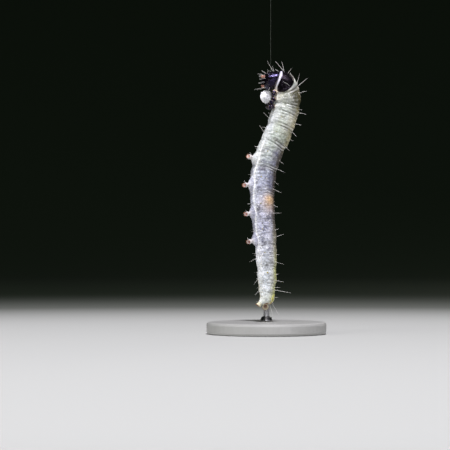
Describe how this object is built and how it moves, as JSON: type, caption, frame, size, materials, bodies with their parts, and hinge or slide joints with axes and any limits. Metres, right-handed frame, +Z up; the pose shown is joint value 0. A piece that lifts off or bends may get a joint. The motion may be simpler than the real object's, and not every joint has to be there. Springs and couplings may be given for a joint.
{
  "type": "oak leaf roller larva",
  "caption": "Life-size oak leaf roller larva with a pale soft body, black head and shield and belly prolegs, hanging head up from its silk line, held by a rod on a small round base.",
  "frame": {"origin": "centre of the round base's underside, on the surface that it rests on", "axes": "+Z up, towards the larva's head; the belly and the mouth face -X, the back faces +X, and the larva's left side faces -Y"},
  "size_m": [0.012, 0.012, 0.0356],
  "materials": {
    "skin": "satin",
    "black_cuticle": "gloss",
    "pale_cuticle": "satin",
    "silk": "matte",
    "enamel": "satin",
    "steel": "brushed"
  },
  "bodies": {
    "root": {"abdomen_segments_1_2": "skin", "abdomen_segments_3_4": "skin", "abdomen_segments_5_6": "skin", "abdomen_segments_7_8": "skin", "antenna_left": "pale_cuticle", "antenna_right": "pale_cuticle", "head": "black_cuticle", "leg_1_left": "black_cuticle", "leg_1_right": "black_cuticle", "leg_2_left": "black_cuticle", "leg_2_right": "black_cuticle", "leg_3_left": "black_cuticle", "leg_3_right": "black_cuticle", "mid_and_hind_thorax": "skin", "proleg_A3_left": "skin", "proleg_A3_right": "skin", "proleg_A4_left": "skin", "proleg_A4_right": "skin", "proleg_A5_left": "skin", "proleg_A5_right": "skin", "proleg_A6_left": "skin", "proleg_A6_right": "skin", "prothorax": "skin", "silk_line": "silk", "silk_wad": "silk", "stand_base": "enamel", "stand_rod": "steel", "tail": "skin", "tail_proleg_left": "skin", "tail_proleg_right": "skin"}
  },
  "joints": []
}
